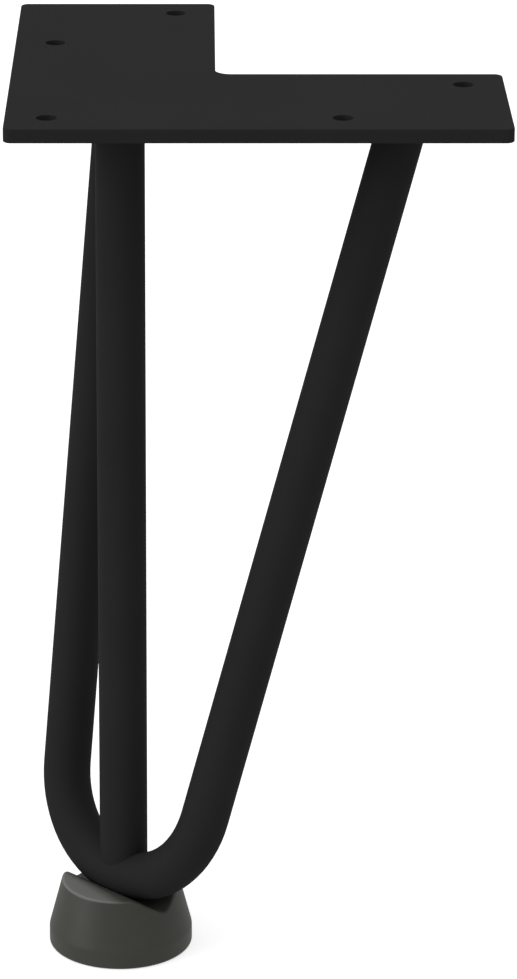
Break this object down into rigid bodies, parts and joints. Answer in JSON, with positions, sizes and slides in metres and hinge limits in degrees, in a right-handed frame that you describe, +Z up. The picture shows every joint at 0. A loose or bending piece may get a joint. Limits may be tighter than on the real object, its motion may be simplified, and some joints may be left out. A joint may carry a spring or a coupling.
{
  "type": "hairpin table leg",
  "caption": "Short hairpin table leg: a flat L-shaped screw plate, round rod bent into a narrow U, upright rod at the corner and a tapered round foot under the bend.",
  "frame": {"origin": "on the plate's top face, on the axis of the straight rod, where the leg meets the table top", "axes": "+X along the front arm of the plate, +Y along its side arm, +Z up out of the plate's top face, into the table top"},
  "size_m": [0.12, 0.12, 0.2205],
  "materials": {
    "black_powder_coat": "matt black powder coat on steel",
    "grey_rubber": "matt moulded rubber, warm dark grey"
  },
  "bodies": {
    "root": {"mounting_plate": "black_powder_coat", "hairpin_rod": "black_powder_coat", "straight_rod": "black_powder_coat", "weld_corner": "black_powder_coat", "weld_front": "black_powder_coat", "weld_rear": "black_powder_coat", "floor_glide": "grey_rubber"}
  },
  "joints": []
}
